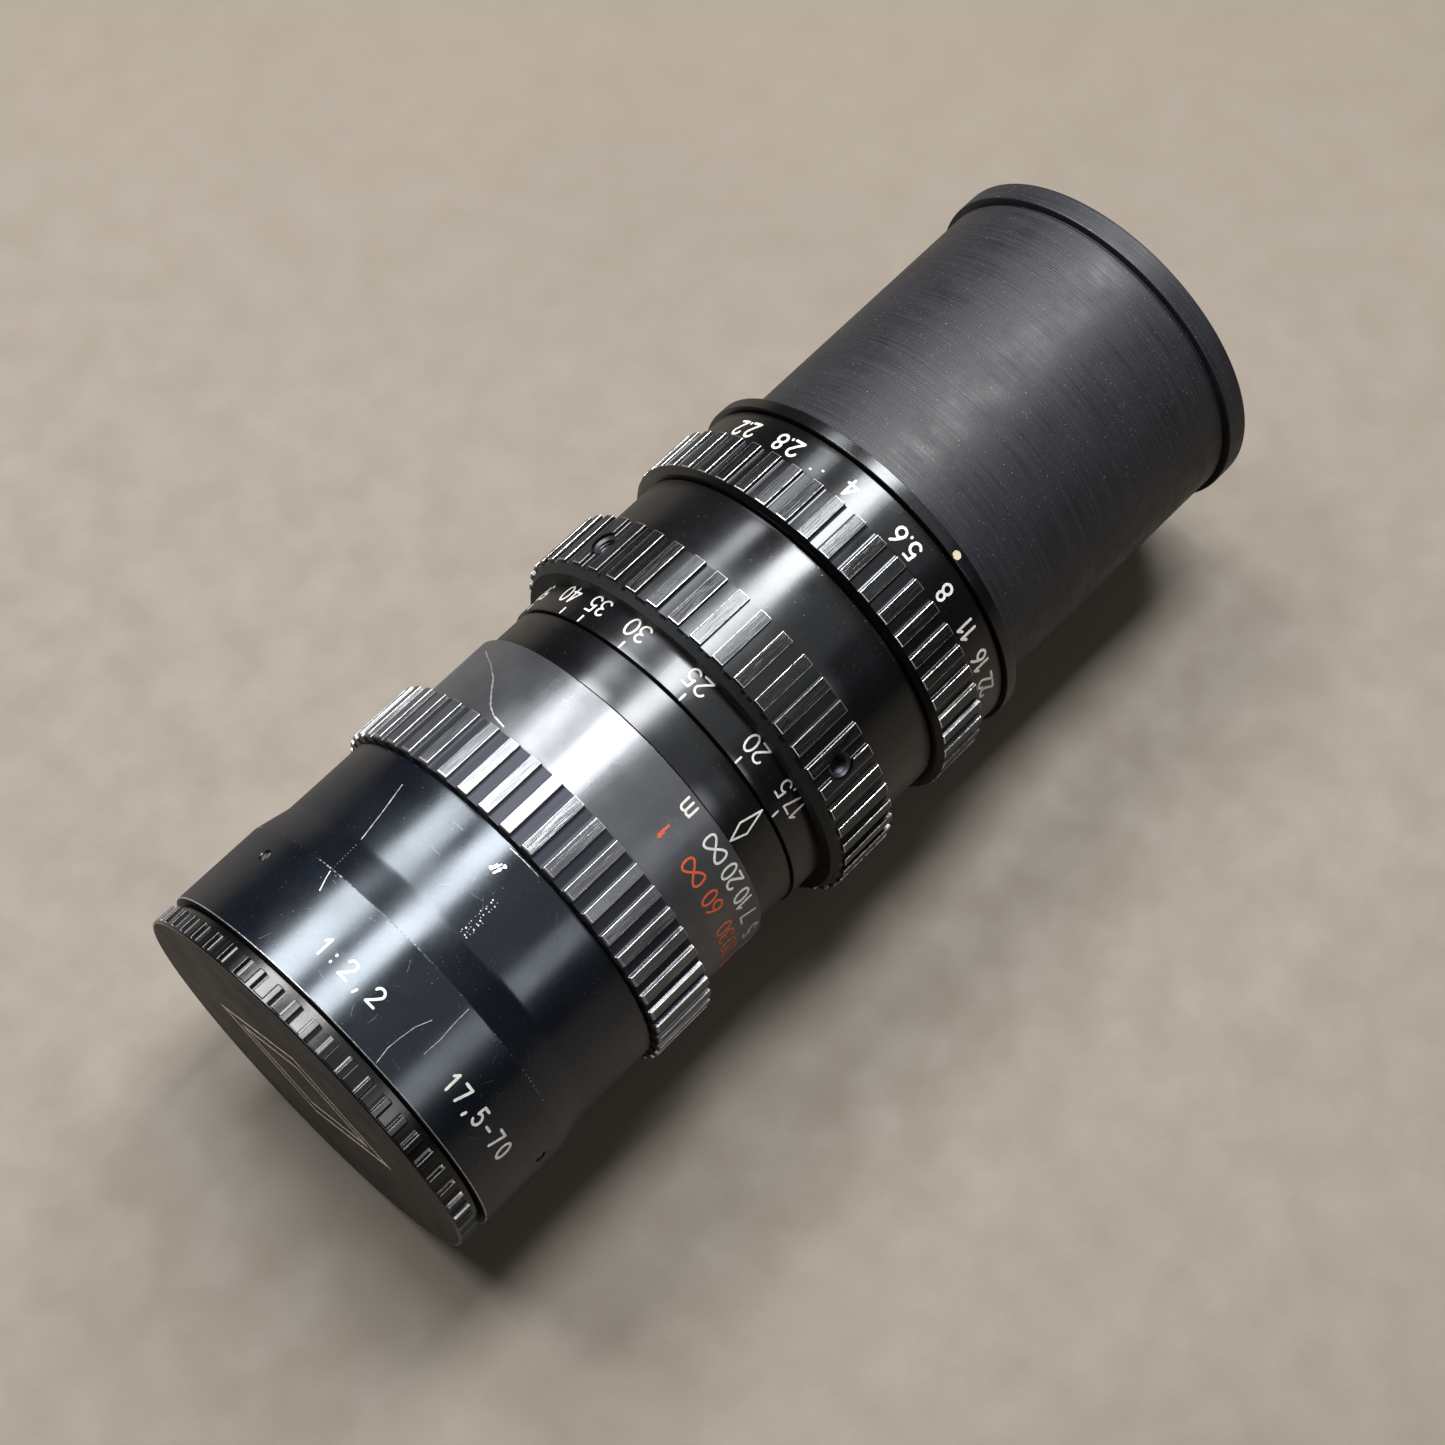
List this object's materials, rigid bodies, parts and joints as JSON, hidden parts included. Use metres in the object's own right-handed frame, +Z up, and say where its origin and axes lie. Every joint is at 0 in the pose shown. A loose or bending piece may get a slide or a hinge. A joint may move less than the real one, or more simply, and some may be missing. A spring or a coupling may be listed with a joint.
{
  "type": "cine zoom lens",
  "caption": "Small black cine zoom lens with knurled focus, zoom and aperture rings, engraved scales, a ribbed front cap and a tall tubular rear cap.",
  "frame": {"origin": "centre of the bounding box on the ground, under the lens as it lies on its side", "axes": "+X along the lens axis from the front cap to the rear cap, +Z up, +Y to the side; the index marks face up and towards -Y"},
  "size_m": [0.1756, 0.0666, 0.0666],
  "materials": {
    "cap_plastic": "satin moulded black",
    "printed_plastic": "printed charcoal, fine layer lines",
    "black_anodised": "glossy black anodised, worn edges",
    "grey_anodised": "satin dark grey anodised",
    "raw_alloy": "machined, matt",
    "blackened_alloy": "matt black inside the tube",
    "brass": "turned",
    "steel": "turned, dark",
    "blade_steel": "blued spring steel",
    "mount_chrome": "chromed brass",
    "coated_glass": "polished, blue single coating"
  },
  "bodies": {
    "lens_body": {"index_barrel": "black_anodised", "focus_key": "brass", "main_barrel": "black_anodised", "guide_tube": "raw_alloy", "iris_base": "blackened_alloy", "iris_retainer": "blackened_alloy", "rear_index_ring": "black_anodised", "rear_barrel": "black_anodised", "prime_cell": "blackened_alloy", "prime_front_lens": "coated_glass", "prime_rear_lens": "coated_glass", "mount_ring": "mount_chrome", "field_lens": "coated_glass"},
    "front_carriage": {"front_barrel": "black_anodised", "front_set_screw_right": "steel", "front_set_screw_left": "steel", "front_set_screw_lower": "steel", "front_cell": "blackened_alloy", "front_outer_element": "coated_glass", "front_inner_element": "coated_glass", "front_retainer": "blackened_alloy"},
    "focusing_ring": {"focus_ring": "grey_anodised"},
    "zoom_unit": {"zoom_ring": "black_anodised", "cam_sleeve": "brass", "zoom_drive_pin_right": "steel", "zoom_drive_pin_left": "steel"},
    "variator": {"variator_carriage": "blackened_alloy", "variator_lens": "coated_glass", "variator_follower_upper": "steel", "variator_follower_lower": "steel"},
    "compensator": {"compensator_carriage": "blackened_alloy", "compensator_lens": "coated_glass", "compensator_follower_upper": "steel", "compensator_follower_lower": "steel"},
    "aperture_unit": {"aperture_ring": "black_anodised", "iris_scroll_plate": "brass", "aperture_drive_pin_right": "steel", "aperture_drive_pin_left": "steel"},
    "front_cover": {"front_cap": "cap_plastic"},
    "rear_cover": {"rear_cap": "printed_plastic"},
    "blade_1": {"iris_blade_1": "blade_steel"},
    "blade_2": {"iris_blade_2": "blade_steel"},
    "blade_3": {"iris_blade_3": "blade_steel"},
    "blade_4": {"iris_blade_4": "blade_steel"},
    "blade_5": {"iris_blade_5": "blade_steel"},
    "blade_6": {"iris_blade_6": "blade_steel"}
  },
  "joints": [
    {"name": "focus_turn", "type": "hinge", "parent": "lens_body", "child": "focusing_ring", "pos_m": [0, 0, 0.0333], "axis": [1, 0, 0], "range_deg": [-176, 0]},
    {"name": "front_advance", "type": "slide", "parent": "lens_body", "child": "front_carriage", "axis": [1, 0, 0], "range_m": [-0.006, 0]},
    {"name": "zoom_turn", "type": "hinge", "parent": "lens_body", "child": "zoom_unit", "pos_m": [0, 0, 0.0333], "axis": [1, 0, 0], "range_deg": [-4, 146]},
    {"name": "variator_slide", "type": "slide", "parent": "lens_body", "child": "variator", "axis": [1, 0, 0], "range_m": [-0.0006, 0.0196]},
    {"name": "compensator_slide", "type": "slide", "parent": "lens_body", "child": "compensator", "axis": [1, 0, 0], "range_m": [-0.0002, 0.0049]},
    {"name": "aperture_turn", "type": "hinge", "parent": "lens_body", "child": "aperture_unit", "pos_m": [0, 0, 0.0333], "axis": [1, 0, 0], "range_deg": [-42.5, 74.1]},
    {"name": "front_cap_pull", "type": "slide", "parent": "front_carriage", "child": "front_cover", "axis": [-1, 0, 0], "range_m": [0, 0.03]},
    {"name": "rear_cap_pull", "type": "slide", "parent": "lens_body", "child": "rear_cover", "axis": [1, 0, 0], "range_m": [0, 0.05]},
    {"name": "blade_1_swing", "type": "hinge", "parent": "lens_body", "child": "blade_1", "pos_m": [0.02125, 0.0175, 0.0333], "axis": [1, 0, 0], "range_deg": [-18.6, 10.7]},
    {"name": "blade_2_swing", "type": "hinge", "parent": "lens_body", "child": "blade_2", "pos_m": [0.02125, 0.00875, 0.04845], "axis": [1, 0, 0], "range_deg": [-18.6, 10.7]},
    {"name": "blade_3_swing", "type": "hinge", "parent": "lens_body", "child": "blade_3", "pos_m": [0.02125, -0.00875, 0.04845], "axis": [1, 0, 0], "range_deg": [-18.6, 10.7]},
    {"name": "blade_4_swing", "type": "hinge", "parent": "lens_body", "child": "blade_4", "pos_m": [0.02125, -0.0175, 0.0333], "axis": [1, 0, 0], "range_deg": [-18.6, 10.7]},
    {"name": "blade_5_swing", "type": "hinge", "parent": "lens_body", "child": "blade_5", "pos_m": [0.02125, -0.00875, 0.01815], "axis": [1, 0, 0], "range_deg": [-18.6, 10.7]},
    {"name": "blade_6_swing", "type": "hinge", "parent": "lens_body", "child": "blade_6", "pos_m": [0.02125, 0.00875, 0.01815], "axis": [1, 0, 0], "range_deg": [-18.6, 10.7]}
  ],
  "couplings": [
    {"joint": "front_advance", "follows": "focus_turn", "m_per_rad": 0.0019533},
    {"joint": "variator_slide", "follows": "zoom_turn", "m_per_rad": 0.0076394},
    {"joint": "compensator_slide", "follows": "zoom_turn", "m_per_rad": 0.0019099},
    {"joint": "blade_1_swing", "follows": "aperture_turn", "ratio": -0.24957},
    {"joint": "blade_2_swing", "follows": "aperture_turn", "ratio": -0.24957},
    {"joint": "blade_3_swing", "follows": "aperture_turn", "ratio": -0.24957},
    {"joint": "blade_4_swing", "follows": "aperture_turn", "ratio": -0.24957},
    {"joint": "blade_5_swing", "follows": "aperture_turn", "ratio": -0.24957},
    {"joint": "blade_6_swing", "follows": "aperture_turn", "ratio": -0.24957}
  ]
}
